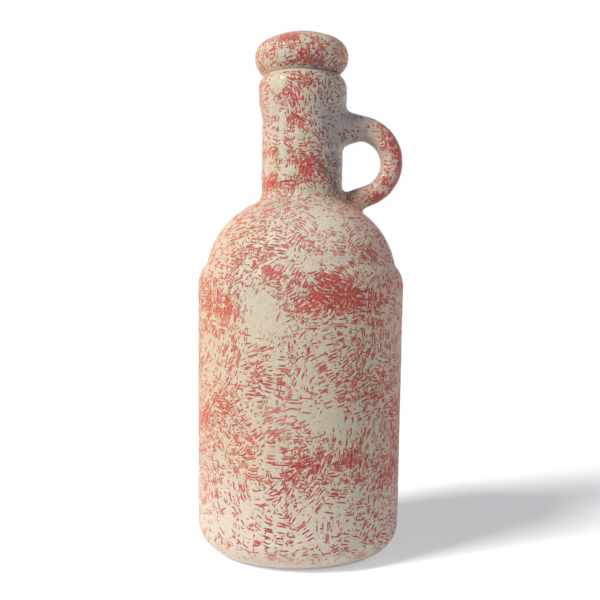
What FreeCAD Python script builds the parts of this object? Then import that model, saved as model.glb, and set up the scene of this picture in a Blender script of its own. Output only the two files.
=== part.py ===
"""Stoneware oil bottle with a ring handle and a mushroom stopper.

Millimetres, +Z up, origin at the middle of the foot on the surface it stands on.
The bottle is one thrown piece: tapered wall, rounded shoulder, dome, neck,
swollen collar and pulled ring handle. The stopper is the second piece: its
tapered plug hangs in the socket of the neck and its head rests on the rim.
"""
import FreeCAD, Part
import math
import os

import Sketcher

SIZES = {
    # foot and wall
    "foot_ring_width": 6.3,
    "foot_recess": 1.5,
    "base_radius": 51.3,
    "base_corner": 15.0,
    "wall_height": 134.6,
    "wall_flare": 1.2,
    # shoulder and dome
    "shoulder_round": 15.6,
    "step_width": 3.7,
    "step_hollow": 1.5,
    "dome_rise": 3.6,
    "dome_round": 41.9,
    # neck, collar and rim
    "neck_radius": 20.9,
    "neck_hollow": 6.0,
    "neck_length": 37.8,
    "collar_slope": 12.8,
    "collar_swell": 2.0,
    "collar_height": 11.6,
    "rim_round": 8.4,
    "rim_inset": 4.4,
    # socket of the neck
    "mouth_radius": 12.5,
    "socket_depth": 22.0,
    "socket_draft": 2.5,
    # ring handle
    "handle_arm": 7.4,
    "handle_bend": 17.6,
    "handle_lift": 0.2,
    "handle_slant": 22.0,
    "handle_root_depth": 6.0,
    "handle_root": 22.0,
    "handle_top": 13.6,
    "handle_grip": 12.1,
    "handle_tail": 11.0,
    "handle_foot": 13.0,
    "handle_fillet": 3.0,
    # stopper
    "stopper_overhang": 1.2,
    "stopper_edge": 9.73,
    "stopper_height": 22.0,
    "plug_clearance": 0.4,
    "plug_end_gap": 2.0,
    "plug_chamfer": 1.2,
}

# Values worked out from the driving sizes, kept in the same sheet.
DERIVED = {
    "foot_ring_inner": "=base_radius - base_corner - foot_ring_width",
    "shoulder_radius": "=base_radius + wall_flare",
    "dome_offset": "=shoulder_radius - step_width - dome_round",
    "dome_centre": "=wall_height + dome_rise",
    "dome_crown": "=dome_centre + dome_round",
    "neck_end": "=dome_crown + neck_length",
    "collar_start": "=neck_end + collar_slope",
    "seat_height": "=collar_start + collar_height",
    "collar_radius": "=neck_radius + collar_swell",
    "seat_radius": "=collar_radius - rim_inset",
    "handle_centre_x": "=neck_radius + handle_arm",
    "handle_centre_z": "=dome_crown + handle_bend + handle_lift",
    "handle_root_x": "=neck_radius - handle_root_depth",
    "stopper_radius": "=collar_radius + stopper_overhang",
    "plug_radius": "=mouth_radius - plug_clearance",
    "plug_length": "=socket_depth - plug_end_gap",
}

# Names for the sketcher's own numbers: its origin, its upright axis, an edge's points.
ORIGIN = -1
AXIS = -2
START = 1
END = 2
CENTRE = 3

# Angles in degrees that the solver starts from where tangency settles the true ones.
LIP_END_GUESS = 48
STEP_END_GUESS = 230
DOME_START_GUESS = 10
RIM_END_GUESS = 60


def write_sheet(doc):
    """Put every size in the spreadsheet, one row each, under its alias."""
    sheet = doc.addObject("Spreadsheet::Sheet", "Sizes")
    for row, (name, value) in enumerate({**SIZES, **DERIVED}.items(), start=1):
        sheet.set("A" + str(row), name)
        sheet.set("B" + str(row), str(value))
        sheet.setAlias("B" + str(row), name)
    doc.recompute()
    return sheet


def origin_plane(body, role):
    """Return the origin plane of this body that has the given role."""
    for feature in body.Origin.OriginFeatures:
        if feature.Role == role:
            return feature
    raise ValueError("no origin plane " + role)


def new_sketch(body, name, role="XZ_Plane"):
    """Start a sketch on an origin plane of its own body."""
    sketch = body.newObject("Sketcher::SketchObject", name)
    sketch.AttachmentSupport = [(origin_plane(body, role), "")]
    sketch.MapMode = "FlatFace"
    return sketch


def line(sketch, start, end):
    """Add a straight edge and return its index."""
    segment = Part.LineSegment(FreeCAD.Vector(*start, 0), FreeCAD.Vector(*end, 0))
    return sketch.addGeometry(segment, False)


def arc(sketch, centre, radius, start_angle, end_angle):
    """Add a circular arc, angles in degrees counterclockwise, and return its index."""
    circle = Part.Circle(FreeCAD.Vector(*centre, 0), FreeCAD.Vector(0, 0, 1), radius)
    curve = Part.ArcOfCircle(circle, math.radians(start_angle), math.radians(end_angle))
    return sketch.addGeometry(curve, False)


def join(sketch, first, first_end, second, second_end):
    """Make two edges share a corner."""
    sketch.addConstraint(Sketcher.Constraint("Coincident", first, first_end, second, second_end))


def smooth(sketch, first, first_end, second, second_end):
    """Make two edges meet tangentially."""
    sketch.addConstraint(Sketcher.Constraint("Tangent", first, first_end, second, second_end))


def on_axis(sketch, edge, end):
    """Hold an edge's end on the turning axis."""
    sketch.addConstraint(Sketcher.Constraint("PointOnObject", edge, end, AXIS))


def level(sketch, edge):
    """Hold an edge level."""
    sketch.addConstraint(Sketcher.Constraint("Horizontal", edge))


def upright(sketch, edge):
    """Hold an edge upright."""
    sketch.addConstraint(Sketcher.Constraint("Vertical", edge))


def drive(sketch, name, expression, kind, *where):
    """Add a named dimension and bind it to the sheet."""
    start_value = evaluate(sketch, expression)
    if kind == "Angle":
        start_value = math.radians(start_value)
    index = sketch.addConstraint(Sketcher.Constraint(kind, *where, start_value))
    sketch.renameConstraint(index, name)
    sketch.setExpression("Constraints." + name, expression)


def evaluate(sketch, expression):
    """Work out an expression on the sheet as a plain number."""
    value = sketch.evalExpression(expression)
    return float(getattr(value, "Value", value))


def place(sketch, name, edge, end, x_expression, z_expression):
    """Set how far out and how high a point lies, each bound to the sheet."""
    if x_expression:
        drive(sketch, name + "_out", x_expression, "DistanceX", ORIGIN, START, edge, end)
    if z_expression:
        drive(sketch, name + "_up", z_expression, "DistanceY", ORIGIN, START, edge, end)


def bottle_profile(body, size):
    """Draw the half section of the bottle, from the recessed foot up to the rim."""
    sketch = new_sketch(body, "BottleProfile")
    corner = size("base_corner")
    base = size("base_radius")
    shoulder = size("shoulder_radius")
    wall_top = size("wall_height")
    lip = size("shoulder_round")
    hollow = size("step_hollow")
    dome = (size("dome_offset"), size("dome_centre"))
    dome_round = size("dome_round")
    neck = size("neck_radius")
    fillet = size("neck_hollow")
    neck_end = size("neck_end")
    collar = size("collar_radius")
    collar_start = size("collar_start")
    seat = (size("seat_radius"), size("seat_height"))
    recess = size("foot_recess")
    ring = size("foot_ring_inner")
    rim = size("rim_round")

    under = line(sketch, (0, recess), (ring - recess, recess))
    ring_wall = line(sketch, (ring - recess, recess), (ring, 0))
    foot = line(sketch, (ring, 0), (base - corner, 0))
    heel = arc(sketch, (base - corner, corner), corner, 270, 360)
    wall = line(sketch, (base, corner), (shoulder, wall_top))
    lip_arc = arc(sketch, (shoulder - lip, wall_top), lip, 0, LIP_END_GUESS)
    step_x = shoulder - lip + lip * math.cos(math.radians(LIP_END_GUESS)) + hollow
    step_z = wall_top + lip * math.sin(math.radians(LIP_END_GUESS)) + hollow
    step = arc(sketch, (step_x, step_z), hollow, 180, STEP_END_GUESS)
    fillet_centre_x = neck + fillet
    fillet_centre_z = dome[1] + math.sqrt((dome_round + fillet) ** 2 - (fillet_centre_x - dome[0]) ** 2)
    dome_end = math.degrees(math.atan2(fillet_centre_z - dome[1], fillet_centre_x - dome[0]))
    dome_arc = arc(sketch, dome, dome_round, DOME_START_GUESS, dome_end)
    neck_fillet = arc(sketch, (fillet_centre_x, fillet_centre_z), fillet, 180, 180 + dome_end)
    neck_line = line(sketch, (neck, fillet_centre_z), (neck, neck_end))
    swell_turn = 2 * math.atan2((collar - neck) / 2, (collar_start - neck_end) / 2)
    swell_round = (collar_start - neck_end) / 2 / math.sin(swell_turn)
    turn = math.degrees(swell_turn)
    swell_in = arc(sketch, (neck + swell_round, neck_end), swell_round, 180 - turn, 180)
    swell_out = arc(sketch, (collar - swell_round, collar_start), swell_round, 360 - turn, 360)
    rim_low = seat[1] - rim
    collar_line = line(sketch, (collar, collar_start), (collar, rim_low))
    rim_arc = arc(sketch, (collar - rim, rim_low), rim, 0, RIM_END_GUESS)
    seat_line = line(sketch, seat, (0, seat[1]))
    axis = line(sketch, (0, seat[1]), (0, recess))

    join(sketch, under, END, ring_wall, START)
    join(sketch, ring_wall, END, foot, START)
    smooth(sketch, foot, END, heel, START)
    smooth(sketch, heel, END, wall, START)
    smooth(sketch, wall, END, lip_arc, START)
    smooth(sketch, lip_arc, END, step, END)
    smooth(sketch, step, START, dome_arc, START)
    smooth(sketch, dome_arc, END, neck_fillet, END)
    smooth(sketch, neck_fillet, START, neck_line, START)
    smooth(sketch, neck_line, END, swell_in, END)
    smooth(sketch, swell_in, START, swell_out, START)
    smooth(sketch, swell_out, END, collar_line, START)
    smooth(sketch, collar_line, END, rim_arc, START)
    join(sketch, rim_arc, END, seat_line, START)
    join(sketch, seat_line, END, axis, START)
    join(sketch, axis, END, under, START)
    on_axis(sketch, axis, START)
    on_axis(sketch, axis, END)
    for edge in (under, foot, seat_line):
        level(sketch, edge)
    for edge in (neck_line, collar_line):
        upright(sketch, edge)
    sketch.addConstraint(Sketcher.Constraint("Equal", swell_in, swell_out))

    place(sketch, "recess", under, END, "Sizes.foot_ring_inner - Sizes.foot_recess", "Sizes.foot_recess")
    drive(sketch, "ring_inner", "Sizes.foot_ring_inner", "DistanceX", ORIGIN, START, foot, START)
    sketch.addConstraint(Sketcher.Constraint("PointOnObject", foot, START, ORIGIN))
    drive(sketch, "heel_radius", "Sizes.base_corner", "Radius", heel)
    drive(sketch, "base_out", "Sizes.base_radius", "DistanceX", ORIGIN, START, wall, START)
    place(sketch, "shoulder", wall, END, "Sizes.shoulder_radius", "Sizes.wall_height")
    drive(sketch, "lip_radius", "Sizes.shoulder_round", "Radius", lip_arc)
    drive(sketch, "step_radius", "Sizes.step_hollow", "Radius", step)
    drive(sketch, "dome_radius", "Sizes.dome_round", "Radius", dome_arc)
    place(sketch, "dome", dome_arc, CENTRE, "Sizes.dome_offset", "Sizes.dome_centre")
    drive(sketch, "fillet_radius", "Sizes.neck_hollow", "Radius", neck_fillet)
    place(sketch, "neck", neck_line, END, "Sizes.neck_radius", "Sizes.neck_end")
    place(sketch, "collar", collar_line, START, "Sizes.collar_radius", "Sizes.collar_start")
    drive(sketch, "rim_radius", "Sizes.rim_round", "Radius", rim_arc)
    place(sketch, "seat", rim_arc, END, "Sizes.seat_radius", "Sizes.seat_height")
    return sketch


def handle_path(body, size):
    """Draw the handle's centre line: level arm, round bend, arm slanting to the dome."""
    sketch = new_sketch(body, "HandlePath")
    centre = (size("handle_centre_x"), size("handle_centre_z"))
    bend = size("handle_bend")
    slant = size("handle_slant")
    root_x = size("handle_root_x")
    tail_angle = math.radians(slant - 90)
    tail = (centre[0] + bend * math.cos(tail_angle), centre[1] + bend * math.sin(tail_angle))
    drop = (tail[0] - root_x) * math.tan(math.radians(slant))

    arm = line(sketch, (root_x, centre[1] + bend), (centre[0], centre[1] + bend))
    ring = arc(sketch, centre, bend, slant - 90, 90)
    lower_arm = line(sketch, tail, (root_x, tail[1] - drop))
    smooth(sketch, arm, END, ring, END)
    smooth(sketch, ring, START, lower_arm, START)
    level(sketch, arm)
    drive(sketch, "bend_radius", "Sizes.handle_bend", "Radius", ring)
    place(sketch, "bend", ring, CENTRE, "Sizes.handle_centre_x", "Sizes.handle_centre_z")
    place(sketch, "root", arm, START, "Sizes.handle_root_x", None)
    place(sketch, "foot", lower_arm, END, "Sizes.handle_root_x", None)
    drive(sketch, "slant", "180 + Sizes.handle_slant", "Angle", lower_arm)
    return sketch


def handle_section(body, path, edge, along, name, expression):
    """Draw a round section square to the path, a share of the way along one edge."""
    sketch = body.newObject("Sketcher::SketchObject", name)
    sketch.AttachmentSupport = [(path, edge)]
    sketch.MapMode = "NormalToEdge"
    sketch.MapPathParameter = along
    diameter = evaluate(sketch, expression)
    circle = Part.Circle(FreeCAD.Vector(0, 0, 0), FreeCAD.Vector(0, 0, 1), diameter / 2)
    index = sketch.addGeometry(circle, False)
    join(sketch, index, CENTRE, ORIGIN, START)
    drive(sketch, "width", expression, "Diameter", index)
    return sketch


def add_handle(body, size):
    """Pull the ring handle along its path, wide at the neck and slimmer round the bend."""
    path = handle_path(body, size)
    body.Document.recompute()
    stations = (
        ("HandleRoot", "Edge1", 0.0, "Sizes.handle_root"),
        ("HandleTop", "Edge1", 1.0, "Sizes.handle_top"),
        ("HandleGrip", "Edge2", 0.5, "Sizes.handle_grip"),
        ("HandleTail", "Edge3", 0.0, "Sizes.handle_tail"),
        ("HandleFoot", "Edge3", 1.0, "Sizes.handle_foot"),
    )
    sections = []
    for name, edge, along, expression in stations:
        sections.append(handle_section(body, path, edge, along, name, expression))
    body.Document.recompute()
    pipe = body.newObject("PartDesign::AdditivePipe", "Handle")
    pipe.Profile = sections[0]
    pipe.Spine = (path, ["Edge1", "Edge2", "Edge3"])
    pipe.Transformation = "Multisection"
    pipe.Sections = [(section, [""]) for section in sections[1:]]
    return pipe


def root_edges(shape):
    """Name the edges where the pulled handle meets the turned vessel."""
    names = []
    for index, edge in enumerate(shape.Edges, start=1):
        faces = shape.ancestorsOfType(edge, Part.Face)
        pulled = [face.Surface.TypeId == "Part::GeomBSplineSurface" for face in faces]
        if any(pulled) and not all(pulled):
            names.append("Edge" + str(index))
    return names


def blend_roots(body, pipe):
    """Smear the clay of the handle's two roots onto the vessel."""
    blend = body.newObject("PartDesign::Fillet", "HandleBlend")
    blend.Base = (pipe, root_edges(pipe.Shape))
    blend.setExpression("Radius", "Sizes.handle_fillet")
    return blend


def socket_profile(body, size):
    """Draw the half section of the tapered socket in the neck."""
    sketch = new_sketch(body, "SocketProfile")
    top = size("seat_height")
    mouth = size("mouth_radius")
    depth = size("socket_depth")
    floor = mouth - depth * math.tan(math.radians(size("socket_draft")))
    mouth_line = line(sketch, (0, top), (mouth, top))
    side = line(sketch, (mouth, top), (floor, top - depth))
    floor_line = line(sketch, (floor, top - depth), (0, top - depth))
    axis = line(sketch, (0, top - depth), (0, top))
    join(sketch, mouth_line, END, side, START)
    join(sketch, side, END, floor_line, START)
    join(sketch, floor_line, END, axis, START)
    join(sketch, axis, END, mouth_line, START)
    on_axis(sketch, axis, START)
    on_axis(sketch, axis, END)
    level(sketch, mouth_line)
    level(sketch, floor_line)
    place(sketch, "mouth", side, START, "Sizes.mouth_radius", "Sizes.seat_height")
    place(sketch, "floor", side, END, None, "Sizes.seat_height - Sizes.socket_depth")
    drive(sketch, "draft", "270 - Sizes.socket_draft", "Angle", side)
    return sketch


def turn_feature(body, kind, name, profile):
    """Turn a profile a full circle about the upright axis."""
    feature = body.newObject("PartDesign::" + kind, name)
    feature.Profile = profile
    feature.ReferenceAxis = (profile, ["V_Axis"])
    feature.Angle = 360
    return feature


def build_bottle(doc, size):
    """Build the bottle with its handle and the socket for the stopper."""
    body = doc.addObject("PartDesign::Body", "Bottle")
    body.Label = "bottle"
    body.Placement = FreeCAD.Placement()
    turn_feature(body, "Revolution", "Vessel", bottle_profile(body, size))
    doc.recompute()
    pipe = add_handle(body, size)
    doc.recompute()
    blend_roots(body, pipe)
    doc.recompute()
    before = body.Shape.Volume
    turn_feature(body, "Groove", "Socket", socket_profile(body, size))
    doc.recompute()
    if body.Shape.Volume >= before:
        raise RuntimeError("the socket removed nothing")
    return body


def stopper_profile(body, size):
    """Draw the half section of the stopper, its head's seat at height zero."""
    sketch = new_sketch(body, "StopperProfile")
    seat = size("seat_radius")
    edge = size("stopper_edge")
    edge_x = size("stopper_radius") - edge
    edge_z = math.sqrt(edge ** 2 - (seat - edge_x) ** 2)
    rise = size("stopper_height") - edge_z
    crown = (edge_x ** 2 + rise ** 2 - edge ** 2) / (2 * (rise - edge))
    crown_z = size("stopper_height") - crown
    low = math.degrees(math.atan2(-edge_z, seat - edge_x))
    high = math.degrees(math.atan2(edge_z - crown_z, edge_x))
    plug = size("plug_radius")
    length = size("plug_length")
    tip = plug - length * math.tan(math.radians(size("socket_draft")))
    cut = size("plug_chamfer")

    end_line = line(sketch, (0, -length), (tip - cut, -length))
    chamfer = line(sketch, (tip - cut, -length), (tip, cut - length))
    side = line(sketch, (tip, cut - length), (plug, 0))
    seat_line = line(sketch, (plug, 0), (seat, 0))
    edge_arc = arc(sketch, (edge_x, edge_z), edge, low, high)
    crown_arc = arc(sketch, (0, crown_z), crown, high, 90)
    axis = line(sketch, (0, size("stopper_height")), (0, -length))
    join(sketch, end_line, END, chamfer, START)
    join(sketch, chamfer, END, side, START)
    join(sketch, side, END, seat_line, START)
    join(sketch, seat_line, END, edge_arc, START)
    smooth(sketch, edge_arc, END, crown_arc, START)
    join(sketch, crown_arc, END, axis, START)
    join(sketch, axis, END, end_line, START)
    on_axis(sketch, axis, START)
    on_axis(sketch, axis, END)
    on_axis(sketch, crown_arc, CENTRE)
    level(sketch, end_line)
    level(sketch, seat_line)
    sketch.addConstraint(Sketcher.Constraint("PointOnObject", side, END, ORIGIN))
    drive(sketch, "plug_out", "Sizes.plug_radius", "DistanceX", ORIGIN, START, side, END)
    drive(sketch, "plug_draft", "90 - Sizes.socket_draft", "Angle", side)
    drive(sketch, "plug_end", "Sizes.plug_length", "DistanceY", axis, END, ORIGIN, START)
    drive(sketch, "chamfer_in", "Sizes.plug_chamfer", "DistanceX", chamfer, START, chamfer, END)
    drive(sketch, "chamfer_up", "Sizes.plug_chamfer", "DistanceY", chamfer, START, chamfer, END)
    drive(sketch, "seat_out", "Sizes.seat_radius", "DistanceX", ORIGIN, START, edge_arc, START)
    drive(sketch, "edge_radius", "Sizes.stopper_edge", "Radius", edge_arc)
    edge_out = "Sizes.stopper_radius - Sizes.stopper_edge"
    drive(sketch, "edge_out", edge_out, "DistanceX", ORIGIN, START, edge_arc, CENTRE)
    drive(sketch, "top_up", "Sizes.stopper_height", "DistanceY", ORIGIN, START, axis, START)
    return sketch


def build_stopper(doc, size):
    """Build the stopper and set it down on the rim."""
    body = doc.addObject("PartDesign::Body", "Stopper")
    body.Label = "stopper"
    turn_feature(body, "Revolution", "Knob", stopper_profile(body, size))
    body.Placement = FreeCAD.Placement(FreeCAD.Vector(0, 0, size("seat_height")), FreeCAD.Rotation())
    body.setExpression("Placement.Base.z", "Sizes.seat_height")
    doc.recompute()
    return body


def check_document(doc, bodies):
    """Stop if any object failed or any sub-part has no sound solid."""
    for item in doc.Objects:
        if "Invalid" in item.State or "Error" in item.State:
            raise RuntimeError(item.Name + " failed: " + str(item.State))
        if item.TypeId == "Sketcher::SketchObject" and not item.FullyConstrained:
            raise RuntimeError(item.Name + " is not fully constrained")
    for body in bodies:
        shape = body.Shape
        if shape.isNull() or not shape.isValid() or len(shape.Solids) != 1:
            raise RuntimeError(body.Label + " is not one sound solid")


def main():
    doc = FreeCAD.newDocument("oil_bottle")
    sheet = write_sheet(doc)

    def size(name):
        value = getattr(sheet, name)
        return float(getattr(value, "Value", value))

    bodies = [build_bottle(doc, size), build_stopper(doc, size)]
    doc.recompute()
    check_document(doc, bodies)
    os.makedirs("parts", exist_ok=True)
    for body in bodies:
        body.Shape.exportStep("parts/" + body.Label + ".step")
        print(body.Label, "volume", round(body.Shape.Volume), "mm3")


main()
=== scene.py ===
"""Looks of a stoneware oil bottle: cream glaze broken by short red brush strokes.

The bottle is one thrown and glazed piece with a pulled ring handle, and the
stopper sits in its neck. Lengths are in metres unless a name says millimetres.
"""
import logging
import math
from dataclasses import dataclass
from enum import Enum
from functools import partial

import bmesh
import bpy
import numpy as np
from mathutils import Matrix, Vector, noise


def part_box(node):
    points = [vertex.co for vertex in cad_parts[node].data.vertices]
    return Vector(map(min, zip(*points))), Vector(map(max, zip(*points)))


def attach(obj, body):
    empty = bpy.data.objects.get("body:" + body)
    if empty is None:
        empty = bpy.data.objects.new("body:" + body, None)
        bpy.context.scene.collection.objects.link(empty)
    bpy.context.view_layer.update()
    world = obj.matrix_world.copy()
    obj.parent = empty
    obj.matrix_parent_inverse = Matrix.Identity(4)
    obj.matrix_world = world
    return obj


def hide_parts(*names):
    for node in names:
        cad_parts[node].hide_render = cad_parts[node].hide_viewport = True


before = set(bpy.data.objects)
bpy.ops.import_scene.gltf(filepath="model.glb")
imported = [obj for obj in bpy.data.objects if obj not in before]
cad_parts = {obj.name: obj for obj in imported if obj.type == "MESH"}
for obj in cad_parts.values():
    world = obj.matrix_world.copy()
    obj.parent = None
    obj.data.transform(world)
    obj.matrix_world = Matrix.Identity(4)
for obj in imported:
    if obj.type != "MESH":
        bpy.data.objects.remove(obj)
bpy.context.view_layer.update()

LOG = logging.getLogger("oil_bottle")
MM = 0.001
BARE = -0.5  # a cover too low for any stroke to show
PATCHES_APART = 40.0  # keeps the strokes of neighbouring patches unlike each other
SHIFT_WAY = (1.0, 0.7, 1.3)  # the way one coat's pattern is set off from the next


def linear(hex_colour: str) -> tuple[float, float, float, float]:
    """Turn an sRGB hex colour into linear RGBA.

    Args:
        hex_colour: Six hex digits, such as "c8503c".

    Returns:
        Linear red, green, blue and an alpha of one.
    """
    channels = [int(hex_colour[i:i + 2], 16) / 255 for i in (0, 2, 4)]
    curve = [c / 12.92 if c <= 0.04045 else ((c + 0.055) / 1.055) ** 2.4 for c in channels]
    return (*curve, 1.0)


def add_node(
    tree: bpy.types.NodeTree, kind: str, inputs: dict | tuple = (), **settings,
) -> bpy.types.Node:
    """Add a shader node, set its properties and feed its inputs.

    Args:
        tree: The node tree to add to.
        kind: The node's type name after "ShaderNode".
        inputs: Values in the order of the sockets, or keyed by socket name or index.
            A value may be an output socket, or a node that gives its first output.
        **settings: Properties of the node.

    Returns:
        The new node.
    """
    node = tree.nodes.new("ShaderNode" + kind)
    for name, value in settings.items():
        setattr(node, name, value)
    for key, value in inputs.items() if isinstance(inputs, dict) else enumerate(inputs):
        if isinstance(value, bpy.types.Node):
            value = value.outputs[0]
        if isinstance(value, bpy.types.NodeSocket):
            tree.links.new(value, node.inputs[key])
        else:
            node.inputs[key].default_value = value
    return node


def lay_colours(
    tree: bpy.types.NodeTree, colour: tuple | bpy.types.NodeSocket, layers: tuple,
) -> bpy.types.NodeSocket:
    """Lay colours over a first one, in order.

    Args:
        tree: The node tree to add to.
        colour: The first colour, as RGBA or an output.
        layers: Pairs of a layer's share, zero to one, and its colour.

    Returns:
        The mixed colour's socket.
    """
    for share, tone in layers:
        mix = add_node(tree, "Mix", {0: share, 6: colour, 7: tone}, data_type="RGBA")
        colour = mix.outputs[2]
    return colour


def ramp(values: np.ndarray, start: float, end: float) -> np.ndarray:
    """Return zero at start, one at end, an even change between and no change outside."""
    return np.clip((values - start) / (end - start), 0, 1)


def bell(values: np.ndarray, centre: float, width: float, power: int = 2) -> np.ndarray:
    """Return one at the centre, falling to about a third at a width from it."""
    return np.exp(-np.abs((values - centre) / width) ** power)


def turn_from(azimuth: np.ndarray, centre: float) -> np.ndarray:
    """Return the turn from a centre to each azimuth, from -180 to 180 degrees."""
    return (azimuth - centre + 180) % 360 - 180


def noise_at(places: np.ndarray, size: float, offset: tuple = (0.0, 0.0, 0.0)) -> np.ndarray:
    """Return smooth noise at each point, its lumps as large as size in millimetres."""
    return np.array([noise.noise(Vector(p) / MM / size + Vector(offset)) for p in places])


@dataclass(frozen=True)
class StrokeCoat:
    """One coat of short brush strokes, laid in patches that share a direction.

    Attributes:
        patch: Width of a patch, in millimetres.
        along: Spacing of the strokes along the brush's way, in millimetres.
        across: Their spacing across it, in millimetres.
        swing: How far a patch may turn from the brush's way, in radians.
        shift: What sets this coat's pattern apart from the others', in millimetres.
        fill: Half width of the narrowest stroke, as a share of the spacing.
        share: How much of the wanted cover this coat gives.
        size_spread: How much more the widest stroke has, as a share of the spacing.
        swell: How much wider the strokes are where they crowd, as a share of the spacing.
        crowded: Cover at which the swelling starts and at which it is full.
        border_wander: How ragged the patches' borders are, in millimetres.
        edge_wander: How ragged a stroke is along and across, as shares of the spacing.
        sharpness: How plainly a stroke is either there or not.
        scatter: How far the strokes leave an even grid, zero to one.
        squareness: Power of the stroke's outline: 2 is an oval, more is squarer.
    """

    patch: float
    along: float
    across: float
    swing: float
    shift: float
    fill: float
    share: float = 1.0
    size_spread: float = 0.16
    swell: float = 0.17
    crowded: tuple[float, float] = (0.5, 1.2)
    border_wander: float = 5.0
    edge_wander: tuple[float, float, float] = (0.16, 0.26, 0.0)
    sharpness: float = 7.0
    scatter: float = 0.95
    squareness: float = 2.6

    def lay(
        self, tree: bpy.types.NodeTree, place: bpy.types.Node, facing: bpy.types.Node,
        flow: bpy.types.Node, cover: bpy.types.Node, wander: bpy.types.Node,
    ) -> tuple[bpy.types.Node, bpy.types.NodeSocket]:
        """Add the nodes of this coat.

        Args:
            tree: The material's node tree.
            place: Position in millimetres.
            facing: Surface normal.
            flow: Direction of the brush along the surface.
            cover: How much of the surface the strokes cover, zero to one.
            wander: Small random vector that roughens patch borders and stroke edges.

        Returns:
            Depth inside the nearest stroke in millimetres, and that stroke's random colour.
        """
        add = partial(add_node, tree)
        offset = tuple(self.shift * part for part in SHIFT_WAY)
        moved = add("VectorMath", (place, offset), operation="ADD")
        border = (self.border_wander,) * 3
        loose = add("VectorMath", (wander, border, moved), operation="MULTIPLY_ADD")
        patches = add(
            "TexVoronoi", {"Vector": loose, "Scale": 1 / self.patch},
            voronoi_dimensions="3D", feature="F1",
        )
        pick = add("SeparateColor", (patches.outputs["Color"],))
        reach = add("VectorMath", (moved, patches.outputs["Position"]), operation="SUBTRACT")
        middle = add("Math", (pick.outputs[0], 0.5), operation="SUBTRACT")
        turn = add("Math", (middle, 2 * self.swing), operation="MULTIPLY")
        side = add("VectorMath", (facing, flow), operation="CROSS_PRODUCT")
        parts = [
            add("VectorMath", {0: way, 3: add("Math", (turn,), operation=wave)}, operation="SCALE")
            for way, wave in ((flow, "COSINE"), (side, "SINE"))
        ]
        ahead = add("VectorMath", tuple(parts), operation="ADD")
        beside = add("VectorMath", (facing, ahead), operation="CROSS_PRODUCT")
        grid = []
        for way, spacing, lot in (
            (ahead, self.along, pick.outputs[1]), (beside, self.across, pick.outputs[2]),
        ):
            length = add("VectorMath", (reach, way), operation="DOT_PRODUCT").outputs["Value"]
            count = add("Math", (length, 1 / spacing), operation="MULTIPLY")
            grid.append(add("Math", (lot, PATCHES_APART, count), operation="MULTIPLY_ADD"))
        flat = add("CombineXYZ", tuple(grid))
        rough = add("VectorMath", (wander, self.edge_wander, flat), operation="MULTIPLY_ADD")
        strokes = add("TexVoronoi", {
            "Vector": rough, "Scale": 1.0, "Randomness": self.scatter, "Exponent": self.squareness,
        }, voronoi_dimensions="2D", feature="F1", distance="MINKOWSKI")
        lot = add("SeparateColor", (strokes.outputs["Color"],))
        given = add("Math", (cover, self.share), operation="MULTIPLY")
        wanted = add("Math", (given, lot.outputs[0]), operation="SUBTRACT")
        present = add(
            "Math", (wanted, self.sharpness, 0.5), operation="MULTIPLY_ADD", use_clamp=True)
        size = (lot.outputs[1], self.size_spread, self.fill)
        size = add("Math", size, operation="MULTIPLY_ADD")
        crowd = add("MapRange", (cover, *self.crowded), interpolation_type="SMOOTHSTEP")
        swollen = add("Math", (crowd, self.swell, size), operation="MULTIPLY_ADD")
        radius = add("Math", (swollen, present), operation="MULTIPLY")
        depth = add("Math", (radius, strokes.outputs["Distance"]), operation="SUBTRACT")
        return add("Math", (depth, self.across), operation="MULTIPLY"), strokes.outputs["Color"]


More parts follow.
